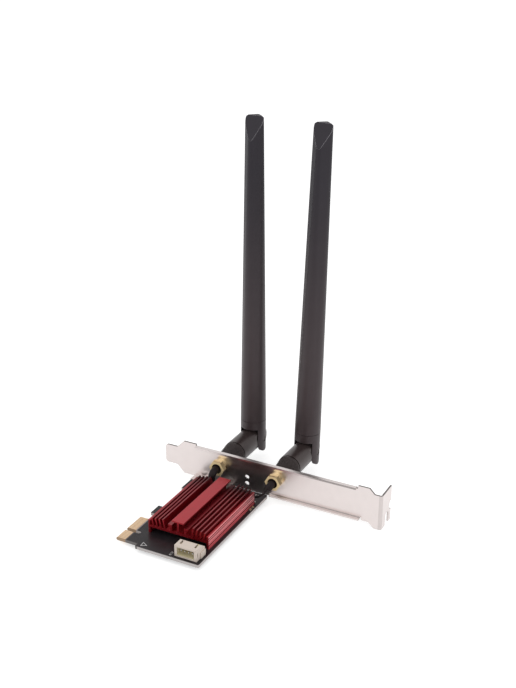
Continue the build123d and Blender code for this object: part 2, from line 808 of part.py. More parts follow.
    # Hinge pin through both ears and the tongue
    with BuildPart() as hinge_pin:
        with BuildSketch(side_view):
            Circle(hinge_pin_diameter / 2)
        extrude(amount=mast_foot_diameter / 2 - ear_clearance, both=True)
    hinge_pin.part.label = f"{side}_hinge_pin"
    export_step(hinge_pin.part, f"parts/{side}_hinge_pin.step")

    # Mast: round foot turning into a rounded square at its slanting tip, bored for spigot and radiator
    with BuildPart() as mast:
        with BuildSketch(hinge.offset(mast_seam + seam_groove)):
            Polygon(*rounded_square(2 * seam_radius, seam_radius), align=None)
        with BuildSketch(hinge.offset(mast_length - mast_tip_bevel)):
            Polygon(*rounded_square(mast_tip_side, mast_tip_corner), align=None)
        with BuildSketch(hinge.offset(mast_length)):
            land_side = mast_tip_side - 2 * mast_tip_bevel
            Polygon(*rounded_square(land_side, mast_tip_corner - mast_tip_bevel), align=None)
        loft(ruled=True)
        with BuildSketch(hinge.offset(mast_seam)):
            Circle(seam_radius - seam_groove)
        extrude(amount=seam_groove)
        with BuildSketch(hinge.offset(mast_seam)):
            Circle(seam_radius - mast_wall)
        extrude(amount=spigot_length, mode=Mode.SUBTRACT)
        with BuildSketch(hinge.offset(mast_seam)):
            Circle(mast_tip_side / 2 - mast_wall)
        extrude(amount=cavity_top - mast_seam, mode=Mode.SUBTRACT)
        cut_edge = hinge.from_local_coords(Vector(0, mast_tip_land, mast_length))
        cut_normal = hinge.from_local_coords(Vector(0, -sin(tip_slope), cos(tip_slope))) - hinge.origin
        split(bisect_by=Plane(cut_edge, z_dir=cut_normal), keep=Keep.BOTTOM)
    mast.part.label = f"{side}_mast"
    export_step(mast.part, f"parts/{side}_mast.step")

    # Radiator inside the mast: sleeve and rod, standing on the spigot
    radiator_foot = mast_seam + spigot_length
    with BuildPart() as radiator:
        for diameter, length in (
            (radiator_sleeve_diameter, radiator_sleeve_length),
            (radiator_rod_diameter, radiator_rod_length),
        ):
            with BuildSketch(hinge.offset(radiator_foot)):
                RegularPolygon(diameter / 2, radiator_sides)
            extrude(amount=length)
            radiator_foot += length
    radiator.part.label = f"{side}_radiator"
    export_step(radiator.part, f"parts/{side}_radiator.step")

# Four-pin header: shroud with its mouth to the front, a lower heel and two slots in its top
header_middle = header_right - header_width / 2
header_back = -header_front + header_top_length
with BuildPart() as usb_header:
    with BuildSketch(Plane.YZ.offset(header_right - header_width)):
        with BuildLine():
            Polyline(
                (-header_front, board_top),
                (-header_front, board_top + header_height),
                (header_back, board_top + header_height),
                (header_back, board_top + header_heel_height),
                (header_back + header_heel_length, board_top + header_heel_height),
                (header_back + header_heel_length, board_top),
                close=True,
            )
        make_face()
    extrude(amount=header_width)
    ridge_length = (header_top_length + header_heel_length) * header_ridge_share
    with BuildSketch(Plane.XY.offset(board_top)):
        with Locations((header_middle, header_back + header_heel_length - ridge_length / 2)):
            Rectangle(header_width + 2 * header_ridge, ridge_length)
    extrude(amount=header_ridge_height)
    with BuildSketch(Plane.XZ.offset(header_front)):
        with Locations((header_middle, board_top + header_height / 2)):
            Rectangle(header_width - 2 * header_side_wall, header_height - 2 * header_wall)
    cavity_depth = header_top_length + header_heel_length - header_back_wall
    extrude(amount=-cavity_depth, mode=Mode.SUBTRACT)
    with BuildSketch(Plane.YZ.offset(header_right)):
        with Locations((header_window_inset + header_window_width / 2 - header_front,
                        board_top + header_height / 2)):
            Rectangle(header_window_width, header_window_height)
    extrude(amount=-header_width, mode=Mode.SUBTRACT)
    slot_length = header_top_length * header_slot_share
    with BuildSketch(Plane.XY.offset(board_top + header_height)):
        with Locations((header_middle, header_back - slot_length / 2)):
            with GridLocations(header_width - 2 * header_slot_inset, slot_length, 2, 1):
                Rectangle(header_slot_width, slot_length)
    extrude(amount=-header_slot_depth, mode=Mode.SUBTRACT)
    with BuildSketch(Plane.XZ.offset(header_front - cavity_depth)):
        with Locations((header_middle, board_top + header_pin_height)):
            with GridLocations(header_pin_pitch, header_pin_pitch, header_pin_count, 1):
                Rectangle(header_pin_size, header_pin_size)
    extrude(amount=-header_back_wall, mode=Mode.SUBTRACT)
usb_header.part.label = "usb_header"
export_step(usb_header.part, "parts/usb_header.step")

# Header pins: square wire through the back wall, bent down to the board
pin_back = header_back + header_heel_length + header_pin_tail
with BuildPart() as header_pins:
    with BuildSketch(Plane.XZ.offset(-pin_back)):
        with Locations((header_middle, board_top + header_pin_height)):
            with GridLocations(header_pin_pitch, header_pin_pitch, header_pin_count, 1):
                Rectangle(header_pin_size, header_pin_size)
    extrude(amount=header_pin_tail + header_back_wall + header_pin_reach)
    with BuildSketch(Plane.XY.offset(board_top)):
        with Locations((header_middle, pin_back - header_pin_size / 2)):
            with GridLocations(header_pin_pitch, header_pin_pitch, header_pin_count, 1):
                Rectangle(header_pin_size, header_pin_size)
    extrude(amount=header_pin_height)
header_pins.part.label = "header_pins"
export_step(header_pins.part, "parts/header_pins.step")

# Small chip parts beside the heat sink
with BuildPart() as board_parts:
    with BuildSketch(Plane.XY.offset(board_top)):
        for inset, setback, turn in chip_places:
            with Locations(Location((board_reach - inset, board_rear - setback), turn)):
                Rectangle(chip_length, chip_width)
    extrude(amount=chip_height)
board_parts.part.label = "board_parts"
export_step(board_parts.part, "parts/board_parts.step")
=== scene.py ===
"""Finishes and fine pieces for a short wireless network card with two jointed antennas."""

import bpy
import numpy as np
from bpy.props import FloatProperty, FloatVectorProperty, IntProperty, PointerProperty
from mathutils import Matrix, Vector


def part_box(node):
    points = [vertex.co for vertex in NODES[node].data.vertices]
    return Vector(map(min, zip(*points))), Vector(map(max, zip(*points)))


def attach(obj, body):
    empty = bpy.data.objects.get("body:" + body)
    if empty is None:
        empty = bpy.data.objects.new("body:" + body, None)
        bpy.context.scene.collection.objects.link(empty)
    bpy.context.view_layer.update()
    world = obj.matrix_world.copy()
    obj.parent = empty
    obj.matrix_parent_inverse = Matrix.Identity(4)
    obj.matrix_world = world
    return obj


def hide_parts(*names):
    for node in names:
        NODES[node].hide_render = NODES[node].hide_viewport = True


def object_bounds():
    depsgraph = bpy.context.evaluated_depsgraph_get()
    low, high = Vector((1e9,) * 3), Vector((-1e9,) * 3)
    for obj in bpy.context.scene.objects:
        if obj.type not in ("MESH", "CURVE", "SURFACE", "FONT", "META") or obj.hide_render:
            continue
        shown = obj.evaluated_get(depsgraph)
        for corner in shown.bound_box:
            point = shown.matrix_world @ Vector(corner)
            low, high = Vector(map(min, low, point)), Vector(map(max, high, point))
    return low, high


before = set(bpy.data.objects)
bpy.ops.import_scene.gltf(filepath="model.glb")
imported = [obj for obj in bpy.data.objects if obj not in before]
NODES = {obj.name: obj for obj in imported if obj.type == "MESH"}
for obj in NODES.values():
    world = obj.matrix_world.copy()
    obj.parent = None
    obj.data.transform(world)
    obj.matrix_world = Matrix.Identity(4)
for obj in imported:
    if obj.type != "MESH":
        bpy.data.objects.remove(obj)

bl_info = {
    "name": "Wireless card finishes",
    "version": (1, 0, 0),
    "blender": (4, 5, 0),
    "location": "View3D > Sidebar > Wireless card",
    "description": "Finishes, knurled nuts, board marks and a studio for a wireless network card",
    "category": "Object",
}

MM = 0.001
SIDES = ("left", "right")
BLACK = (0.0, 0.0, 0.0)
WHITE = (1.0, 1.0, 1.0)
# Tints of the gloss on the black mouldings
WARM = (1.0, 0.86, 0.86)
COOL = (1.0, 0.94, 1.0)
# Places, sizes and aim of the studio's lights, half the floor's width and its gap below the card, in metres
KEY_PLACE = (-0.30, -0.50, 0.85)
KEY_SIZE = 1.3
FILL_PLACE = (0.95, -0.10, 0.45)
FILL_SIZE = 1.0
LIGHT_AIM = (0.03, 0.05, 0.04)
FLOOR_REACH = 3.0
FLOOR_GAP = 0.1 * MM
CAD_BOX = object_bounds()


def box_mm(node):
    """Lowest and highest corners of a CAD node at rest, in millimetres."""
    return [[value / MM for value in corner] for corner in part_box(node)]


def colour_property(name, description, default):
    """A linear colour that the user may change."""
    return FloatVectorProperty(
        name=name, description=description, subtype="COLOR", size=3, min=0.0, max=1.0, default=default
    )


class CardColours(bpy.types.PropertyGroup):
    """Colours of the card's finishes, in linear light."""

    mask: colour_property("Board mask", "Black lacquer on the board", (0.012, 0.0095, 0.011))
    laminate: colour_property("Board edge", "Cut edge of the board", (0.56, 0.52, 0.51))
    bare: colour_property("Bare board", "Laminate without lacquer between the contacts", (0.42, 0.29, 0.19))
    print_white: colour_property("Board print", "Printed marks on the board", (0.62, 0.60, 0.60))
    gold: colour_property("Gold plate", "Contacts and small connectors", (0.76, 0.56, 0.37))
    jack: colour_property("Jack plate", "Jacks and their nuts", (0.76, 0.60, 0.33))
    bracket: colour_property("Bracket plate", "Bright plating of the bracket", (0.68, 0.62, 0.605))
    steel: colour_property("Screw plate", "Plated screws, pins and cans", (0.58, 0.56, 0.54))
    red: colour_property("Heat sink", "Red anodised aluminium", (0.40, 0.010, 0.020))
    cream: colour_property("Header", "Moulded header", (0.64, 0.55, 0.48))
    antenna: colour_property("Antenna", "Matte antenna moulding at the tip", (0.0085, 0.007, 0.0115))
    foot: colour_property("Antenna foot", "Matte antenna moulding at the knuckle", (0.043, 0.0305, 0.0315))
    barrel: colour_property("Barrel", "Satin barrel moulding", (0.027, 0.019, 0.018))
    grip: colour_property("Coupling nut", "Knurled nut moulding", (0.016, 0.011, 0.0105))
    jacket: colour_property("Lead", "Lead jackets and sleeves", (0.011, 0.0075, 0.008))
    # Bracket dark also serves as painted shade in the bracket's folds, bends, foot and top lip, and as
    # painted dark reflections on its ear and between the jacks
    bracket_dark: colour_property("Bracket dark", "Cut edges and folds of the bracket", (0.09, 0.08, 0.075))
    # Heat sink wall is a painted highlight on the side walls
    wall: colour_property("Heat sink wall", "Side walls of the heat sink", (0.66, 0.10, 0.115))
    # Heat sink edge is the colour of wear and a painted highlight along the edges
    wear_and_highlight: colour_property("Heat sink edge", "Edges of the heat sink", (0.66, 0.16, 0.17))
    # Heat sink dark is the colour of the painted shade in the grooves, on the crests and towards the rear
    red_dark: colour_property("Heat sink dark", "Grooves of the heat sink", (0.03, 0.002, 0.004))
    # Antenna edge is the colour of wear and a painted highlight on the tip facet's edges
    rub_and_highlight: colour_property("Antenna edge", "Edges of the facet at the tip", (0.42, 0.40, 0.43))
    # Jack edge is a painted highlight on the jacks' edges
    jack_edge_highlight: colour_property("Jack edge", "Edges of the jacks", (0.90, 0.80, 0.58))
    recess: colour_property("Jack recess", "Recess behind the lead", (0.02, 0.014, 0.01))
    # Header mouth is painted shade, yellowish, inside the header
    mouth: colour_property("Header mouth", "Inside of the header", (0.60, 0.53, 0.34))
    # Header slot is painted shade in the slots
    slot: colour_property("Header slot", "Depth of the header's slots", (0.06, 0.04, 0.025))
    chip: colour_property("Chip", "Small parts near the bracket", (0.02, 0.018, 0.018))
    chip_tan: colour_property("Tan chip", "Small parts beside the heat sink", (0.42, 0.30, 0.15))
    chip_end: colour_property("Chip end", "Tinned ends of the small parts", (0.80, 0.77, 0.73))
    module: colour_property("Radio board", "Lacquer of the radio module", (0.02, 0.07, 0.03))
    pad: colour_property("Pad", "Pad between can and heat sink", (0.30, 0.30, 0.32))
    insulator: colour_property("Insulator", "Insulators in the jacks", (0.72, 0.71, 0.67))


class KnurlSizes(bpy.types.PropertyGroup):
    """Sizes of the grip that is cut round the coupling nuts."""

    diamonds: IntProperty(name="Diamonds round", description="Diamonds in one turn",
                          default=36, min=12, max=80)
    depth: FloatProperty(name="Groove depth", description="Depth of the crossed grooves", unit="LENGTH",
                         default=0.42 * MM, min=0.0, max=0.5 * MM)
    groove: FloatProperty(name="Groove share", description="Share of the pitch that the groove takes",
                          subtype="FACTOR", default=0.55, min=0.1, max=0.9)
    rim: FloatProperty(name="Plain rim", description="Plain band at each end of the grip", unit="LENGTH",
                       default=0.9 * MM, min=0.2 * MM, max=4 * MM)
    taper: FloatProperty(name="Front share", description="Front diameter as a share of the rear one",
                         subtype="FACTOR", default=9.6 / 12.2, min=0.5, max=1.0)
    bore: FloatProperty(name="Thread bore", description="Radius of the threaded bore", unit="LENGTH",
                        default=3.25 * MM, min=1 * MM, max=5 * MM)
    lip: FloatProperty(name="Lip bore", description="Radius of the hole in the rear lip", unit="LENGTH",
                       default=2.6 * MM, min=1 * MM, max=5 * MM)
    lip_length: FloatProperty(name="Lip length", description="Length of the rear lip", unit="LENGTH",
                              default=2.0 * MM, min=0.5 * MM, max=5 * MM)


class StudioSizes(bpy.types.PropertyGroup):
    """Camera and light of the studio."""

    eye: FloatVectorProperty(name="Camera place", description="Where the camera stands",
                             subtype="TRANSLATION", unit="LENGTH", default=(0.25908, -0.36852, 0.28453))
    right: FloatVectorProperty(name="Camera right", description="Direction to the picture's right",
                               subtype="XYZ", default=(0.88850, 0.45885, 0.00514))
    back: FloatVectorProperty(name="Camera back", description="Direction from the object to the camera",
                              subtype="XYZ", default=(0.42091, -0.81941, 0.38912))
    lens: FloatProperty(name="Lens", description="Focal length on a 36 mm picture height", unit="CAMERA",
                        default=57.56, min=10.0, max=300.0)
    key: FloatProperty(name="Key light", description="Power of the large light", unit="POWER",
                       default=3.0, min=0.0, max=50.0)
    fill: FloatProperty(name="Fill light", description="Power of the light at the other side", unit="POWER",
                        default=2.2, min=0.0, max=50.0)
    ambient: FloatProperty(name="Ambient light", description="Strength of the light from all round",
                           default=0.76, min=0.0, max=2.0)
    floor: colour_property("Floor", "Pale floor under the card", (0.70, 0.70, 0.70))
    glow: FloatProperty(name="Floor glow",
                        description="White that the camera and reflections see on the floor",
                        subtype="FACTOR", default=0.58, min=0.0, max=1.0)


class CardLooks(bpy.types.PropertyGroup):
    """All that a user may change."""

    colours: PointerProperty(type=CardColours)
    knurl: PointerProperty(type=KnurlSizes)
    studio: PointerProperty(type=StudioSizes)


class Wire:
    """A shader socket in Python arithmetic: each operation on it adds one Math node."""

    def __init__(self, finish, socket):
        self.finish = finish
        self.socket = socket

    def maths(self, operation, *values):
        """The result of a Math node on these values or wires."""
        return self.finish.node("ShaderNodeMath", {"operation": operation}, dict(enumerate(values)))

    def __add__(self, other):
        return self.maths("ADD", self, other)

    def __radd__(self, other):
        return self.maths("ADD", other, self)

    def __sub__(self, other):
        return self.maths("SUBTRACT", self, other)

    def __rsub__(self, other):
        return self.maths("SUBTRACT", other, self)

    def __mul__(self, other):
        return self.maths("MULTIPLY", self, other)

    def __rmul__(self, other):
        return self.maths("MULTIPLY", other, self)

    def __lt__(self, other):
        return self.maths("LESS_THAN", self, other)

    def __gt__(self, other):
        return self.maths("GREATER_THAN", self, other)

    def __abs__(self):
        return self.maths("ABSOLUTE", self)


class Finish:
    """A material or a world whose nodes are added by one method."""

    def __init__(self, name, store=bpy.data.materials):
        self.block = store.new(name)
        self.block.use_nodes = True
        self.tree = self.block.node_tree
        self.tree.nodes.clear()

    def node(self, kind, settings=None, inputs=None, output=0):
        """A node of this kind, its settings made first, then its sockets set or linked; gives one output."""
        node = self.tree.nodes.new(kind)
        for name, value in (settings or {}).items():
            setattr(node, name, value)
        for name, value in (inputs or {}).items():
            if isinstance(value, Wire):
                self.tree.links.new(value.socket, node.inputs[name])
            else:
                node.inputs[name].default_value = value
        return Wire(self, node.outputs[output] if node.outputs else None)

    def place(self, stretch=(1.0, 1.0, 1.0)):
        """Place on the object in millimetres, stretched along each axis."""
        place = self.node("ShaderNodeTexCoord", output="Object")
        scale = tuple(share / MM for share in stretch)
        return self.node("ShaderNodeMapping", None, {"Vector": place, "Scale": scale})

    def split(self, vector):
        """X, Y and Z of a vector."""
        split = self.node("ShaderNodeSeparateXYZ", None, {"Vector": vector})
        return [Wire(self, socket) for socket in split.socket.node.outputs]

    def axes(self):
        """X, Y and Z of the place on the object, in millimetres."""
        return self.split(self.place())

    def facing(self):
        """X, Y and Z of the direction that the surface faces."""
        return self.split(self.node("ShaderNodeNewGeometry", output="Normal"))

    def noise(self, scale, detail=3.0, stretch=(1.0, 1.0, 1.0)):
        """Cloudy noise with this many features to the millimetre."""
        return self.node(
            "ShaderNodeTexNoise", None,
            {"Vector": self.place(stretch), "Scale": scale, "Detail": detail, "Roughness": 0.55},
        )

    def blend(self, share, low, high):
        """A colour between low and high."""
        low = low if isinstance(low, Wire) else (*low, 1.0)
        high = high if isinstance(high, Wire) else (*high, 1.0)
        return self.node("ShaderNodeMix", {"data_type": "RGBA"}, {0: share, 6: low, 7: high}, output=2)

    def between(self, value, low, high):
        """A value that runs from low to high as a wire runs from 0 to 1."""
        return value * (high - low) + low

    def step(self, value, low, high):
        """0 below low, 1 above high, smooth between."""
        return self.node(
            "ShaderNodeMapRange", {"interpolation_type": "SMOOTHSTEP"},
            {"Value": value, "From Min": low, "From Max": high},
        )

    def within(self, value, low, high):
        """1 between low and high, 0 outside."""
        return abs(value - (low + high) / 2) < (high - low) / 2

    def cover(self, *layers):
        """Sum of masks, each times its strength, kept between 0 and 1."""
        total = 0.0
        for mask, strength in layers:
            total = mask * strength + total
        return self.node("ShaderNodeClamp", None, {"Value": total})

    def bump(self, height, depth):
        """Surface normal for a relief of this depth in millimetres."""
        return self.node(
            "ShaderNodeBump", None, {"Height": height, "Distance": depth * MM}, output="Normal"
        )

    def edges(self, radius):
        """How much the surface turns within a radius in millimetres: 0 on a flat face, 1 at a sharp edge."""
        rounded = self.node("ShaderNodeBevel", {"samples": 6}, {"Radius": radius * MM})
        flat = self.node("ShaderNodeNewGeometry", output="Normal")
        alike = self.node(
            "ShaderNodeVectorMath", {"operation": "DOT_PRODUCT"}, {0: rounded, 1: flat}, output="Value"
        )
        return self.step(1 - alike, 0.01, 0.14)

    def seen(self):
        """1 where the camera, a reflection or a view through glass looks straight at the surface."""
        path = self.node("ShaderNodeLightPath").socket.node.outputs
        rays = ("Camera", "Glossy", "Transmission")
        camera, mirror, glass = (Wire(self, path[f"Is {ray} Ray"]) for ray in rays)
        return self.cover((camera, 1.0), (mirror, 1.0), (glass, 1.0))

    def surface(self, **sockets):
        """The shader, with each socket set or linked, joined to the output."""
        inputs = {
            name.replace("_", " ").title().replace("Ior", "IOR"): value for name, value in sockets.items()
        }
        shader = self.node("ShaderNodeBsdfPrincipled", None, inputs)
        self.node("ShaderNodeOutputMaterial", None, {"Surface": shader})
        return self.block


def shade(colour, share):
    """A colour made darker or lighter by a share."""
    return tuple(min(1.0, channel * share) for channel in colour)


def dress(material, *names):
    """Gives CAD nodes their material."""
    for name in names:
        slots = NODES[name].data.materials
        slots.clear()
        slots.append(material)


def grid_piece(name, points, material, body, smooth=True):
    """Piece from a grid of points, rows by columns, closed both ways: each cell is one face."""
    rows, columns = points.shape[:2]
    row = np.arange(rows)[:, None]
    column = np.arange(columns)[None, :]
    below = (row + 1) % rows
    beside = (column + 1) % columns
    corners = (
        row * columns + column,
        row * columns + beside,
        below * columns + beside,
        below * columns + column,
    )
    faces = np.stack(corners, axis=-1).reshape(-1, 4)
    mesh = bpy.data.meshes.new(name)
    mesh.from_pydata(points.reshape(-1, 3), [], faces)
    mesh.polygons.foreach_set("use_smooth", np.full(len(faces), smooth))
    mesh.materials.append(material)
    mesh.update()
    piece = bpy.data.objects.new(name, mesh)
    bpy.context.scene.collection.objects.link(piece)
    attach(piece, body)
    return piece


def board_finish(colours):
    """Black lacquer over faint copper lines, pale where the board is cut, darker where that cut runs beside
    the contact tongue, and bare on the tongue itself."""
    contact_end, contact_side = box_mm("edge_contacts")[1][:2]
    lacquer_gap = 0.08
    margin_width = 0.6
    side_margin = 0.3
    shoulder_end = 12.9
    finish = Finish("board_mask")
    x, y, z = finish.axes()
    cut = finish.within(z, -0.79, 0.72)
    beside = y < contact_side + side_margin
    tongue = (x < contact_end + lacquer_gap) * beside
    margin = (x < contact_end + margin_width) * beside * (1 - cut)
    shoulder = (x < shoulder_end) * (y < 0.0)
    weave = finish.noise(6.0, stretch=(1.0, 1.0, 4.0))
    clean = finish.blend(weave, shade(colours.laminate, 0.95), shade(colours.laminate, 1.04))
    laminate = finish.blend(shoulder * 0.75, clean, shade(colours.laminate, 0.12))
    runs = finish.node(
        "ShaderNodeTexBrick", {"offset": 0.37, "squash": 1.0},
        {"Vector": finish.place(), "Scale": 0.35, "Mortar Size": 0.035, "Mortar Smooth": 0.2,
         "Brick Width": 6.0, "Row Height": 0.26},
        output="Fac",
    )
    patches = finish.step(finish.noise(0.16, 1.0), 0.46, 0.54)
    lines = runs * patches
    cloud = finish.noise(0.4)
    lacquer = finish.blend(lines * 0.6 + cloud * 0.3, colours.mask, shade(colours.mask, 2.4))
    orange_peel = finish.noise(2.5, 2.0)
    fibre = finish.blend(weave, shade(colours.bare, 0.85), shade(colours.bare, 1.15))
    return finish.surface(
        base_color=finish.blend(tongue, finish.blend(cut + margin * 0.5, lacquer, laminate), fibre),
        roughness=finish.between(cut, 0.30, 0.62) + cloud * 0.08,
        normal=finish.bump(lines * 0.7 + orange_peel * 0.12, 0.03),
        specular_ior_level=0.22,
    )


def plated_finish(name, colour, polish, along):
    """Plated metal with fine drawing lines along one axis, and faint clouds in the plating."""
    finish = Finish(name)
    stretch = tuple(0.04 if axis == along else 1.0 for axis in "XYZ")
    lines = finish.noise(9.0, 2.0, stretch)
    cloud = finish.noise(0.22, 3.0)
    tone = finish.blend(cloud, shade(colour, 0.93), shade(colour, 1.05))
    return finish.surface(
        base_color=tone,
        metallic=1.0,
        roughness=finish.between(cloud, polish * 0.8, polish * 1.25) + lines * 0.05,
        normal=finish.bump(lines, 0.004),
    )


def bracket_finish(colours):
    """Bright plating with drawing lines along the plate, dark where the sheet is cut, with painted shade in
    its folds and bends, where it meets the board and on its top lip, and painted dark reflections on the ear
    and between the jacks."""
    screw_end = box_mm("bracket")[1][0]
    board_end = box_mm("pcb")[1][0]
    jack_middle = 34.5
    ear_middle = 22.2
    sheet_inside = 59.05
    sheet_outside = 59.91
    tab_start = 60.3
    finish = Finish("bracket_steel")
    lines = finish.noise(9.0, 2.0, (0.04, 1.0, 1.0))
    cloud = finish.noise(0.22, 3.0)
    tone = finish.blend(cloud, shade(colours.bracket, 0.95), shade(colours.bracket, 1.04))
    x, y, z = finish.axes()
    _, out, up = finish.facing()
    upward = up > 0.3
    cut = finish.within(y, sheet_inside - 0.02, sheet_outside + 0.02) * upward
    tab_cut = (y > tab_start) * upward
    # Painted shade in the fold by the screw tab
    fold_shade = finish.within(x, screw_end - 1.65, screw_end + 0.05) * (y < tab_start)
    # Painted shadow line along the foot, where the bracket meets the board
    foot = (y < sheet_inside + 0.05) * (z < 0.95) * finish.within(x, 3.5, board_end + 0.2)
    # Painted dark reflection on the ear that stands on the board
    ear_reflection = (y < sheet_inside - 0.15) * (z < 1.8) * finish.within(x, ear_middle - 3.6, ear_middle + 3.6)
    # Painted shade along the low bend of the plate
    bend_shade = finish.within(z, 1.72, 2.28) * (y > 58.6) * finish.within(x, 47.0, 95.0)
    # Painted shade on the top lip, deeper towards its far end
    lip = (y < 57.0) * (z > 17.0) * finish.step(x, 60.0, 74.0)
    # Painted dark reflection on the inside face between the jacks, where the plate mirrors the heat sink
    reflection_between_jacks = finish.step(abs(x - jack_middle), 15.0, 8.0) * finish.step(z, 11.0, 17.0) * (out < -0.7)
    dark = finish.cover(
        (cut, 1.0), (tab_cut, 1.0), (fold_shade, 0.22), (foot, 1.0), (ear_reflection, 0.7), (bend_shade, 0.6), (lip, 0.7),
        (reflection_between_jacks, 0.65), (finish.edges(0.25), 0.7),
    )
    return finish.surface(
        base_color=finish.blend(dark * 0.9, tone, colours.bracket_dark),
        metallic=1.0,
        roughness=finish.between(cloud, 0.24, 0.30) + lines * 0.05,
        normal=finish.bump(lines, 0.004),
    )


def heat_sink_finish(colours):
    """Red anodised aluminium with drawing lines along the extrusion; painted highlights on its side walls,
    and on its edges with some wear; painted shade in its grooves, on the fins' crests and towards its rear
    end."""
    low, high = box_mm("heat_sink")
    middle = (low[0] + high[0]) / 2
    half = (high[0] - low[0]) / 2
    front, rear = low[1], high[1]
    groove_top = 7.2
    bar_height = 10.0
    shade_start = 32.0
    finish = Finish("heat_sink_red")
    x, y, z = finish.axes()
    _, _, up = finish.facing()
    across = abs(x - middle)
    wall = across > half - 0.03
    # Painted shade in the grooves along the side walls
    groove = finish.within(across, half - 0.4, half - 0.08) * (z < groove_top)
    groove = groove * finish.within(y, front + 0.1, rear - 0.1)
    # Painted shade on the fins' crests
    crest_shade = (up > 0.9) * finish.within(z, 8.2, 10.2)
    shaded = finish.step(y, shade_start, rear) * (z < bar_height)
    # Painted shade on the rear end face and towards the rear end
    dark = finish.cover((groove, 0.85), (crest_shade, 0.45), (y > rear - 0.05, 0.5), (shaded, 0.5))
    lines = finish.noise(5.0, 3.0, (1.0, 0.02, 1.0))
    cloud = finish.noise(0.5, 4.0)
    tone = finish.blend(cloud * 0.5 + lines * 0.4, shade(colours.red, 0.72), shade(colours.red, 1.15))
    # Painted highlight: the side walls get a paler red
    thin = finish.blend(wall, tone, colours.wall)
    # Edges paler with wear and a painted highlight
    wear_and_highlight = finish.blend(finish.edges(0.12) * (1 - wall) * 0.35, thin, colours.wear_and_highlight)
    return finish.surface(
        base_color=finish.blend(dark, wear_and_highlight, colours.red_dark),
        metallic=finish.between(wall, 0.8, 0.2),
        roughness=finish.between(cloud, 0.26, 0.40),
        normal=finish.bump(lines, 0.02),
        coat_weight=0.35,
        coat_roughness=0.2,
        coat_ior=1.45,
    )


def moulded_finish(name, colour, gloss, grain, relief, shine=0.45, tint=WHITE):
    """Moulded plastic: fine spark-eroded grain, and slow clouds of tone and gloss."""
    finish = Finish(name)
    fine = finish.noise(grain, 3.0)
    cloud = finish.noise(0.18, 3.0)
    tone = finish.blend(cloud * 0.7 + fine * 0.3, shade(colour, 0.86), shade(colour, 1.14))
    return finish.surface(
        base_color=tone,
        roughness=finish.between(cloud, gloss - 0.05, gloss + 0.05),
        normal=finish.bump(fine, relief),
        specular_ior_level=shine,
        specular_tint=(*tint, 1.0),
    )


def antenna_finish(colours):
    """Moulding with a fine spark-eroded grain, paler and glossier towards the foot; the edges of the facet at
    its tip paler with wear and a painted highlight."""
    foot_tone, tip_tone = 40.0, 170.0
    gloss_start, gloss_end = 60.0, 150.0
    rub_start, rub_full = 150.0, 156.0
    finish = Finish("antenna_black")
    _, _, z = finish.axes()
    fine = finish.noise(7.0, 3.0)
    cloud = finish.noise(0.18, 3.0)
    base = finish.blend(finish.step(z, foot_tone, tip_tone), colours.foot, colours.antenna)
    tone = finish.blend(cloud * 0.18 + fine * 0.08, base, BLACK)
    # Edges of the tip facet paler with wear and a painted highlight
    rub_and_highlight = finish.edges(0.4) * finish.step(z, rub_start, rub_full) * 0.9
    return finish.surface(
        base_color=finish.blend(rub_and_highlight, tone, colours.rub_and_highlight),
        roughness=finish.between(cloud, 0.36, 0.44) + finish.step(z, gloss_start, gloss_end) * 0.16,
        normal=finish.bump(fine, 0.010),
        specular_ior_level=0.40,
        specular_tint=(*COOL, 1.0),
    )


def jack_finish(colours):
    """Gold plate with painted light and shade: each facet lighter or darker by the way it faces, and painted
    highlights along the edges; dark in the recess behind the lead."""
    left_low, left_high = box_mm("left_jack")
    right_low, right_high = box_mm("right_jack")
    left_axis = (left_low[0] + left_high[0]) / 2
    right_axis = (right_low[0] + right_high[0]) / 2
    axis_height = (left_low[2] + left_high[2]) / 2
    recess_end = left_low[1] + 1.95
    recess_radius = 7.0**0.5
    finish = Finish("jack_gold")
    x, y, z = finish.axes()
    _, out, up = finish.facing()
    lines = finish.noise(9.0, 2.0, (1.0, 0.04, 1.0))
    side = abs(abs(x - (left_axis + right_axis) / 2) - (right_axis - left_axis) / 2)
    height = z - axis_height
    recess = (side * side + height * height < recess_radius**2) * (y < recess_end)
    rim = out < -0.9
    # Painted light and shade: each facet's tone is set by how much it faces upwards
    tone = finish.blend(abs(up - 0.5) * 2, shade(colours.jack, 0.42), shade(colours.jack, 1.12))
    # Painted highlights along the jacks' edges
    bright = finish.blend(finish.edges(0.16) * 0.6, tone, colours.jack_edge_highlight)
    return finish.surface(
        base_color=finish.blend(recess * 0.9, bright, colours.recess),
        metallic=1 - rim * 0.75,
        roughness=lines * 0.06 + rim * 0.3 + 0.13,
        normal=finish.bump(lines, 0.004),
    )


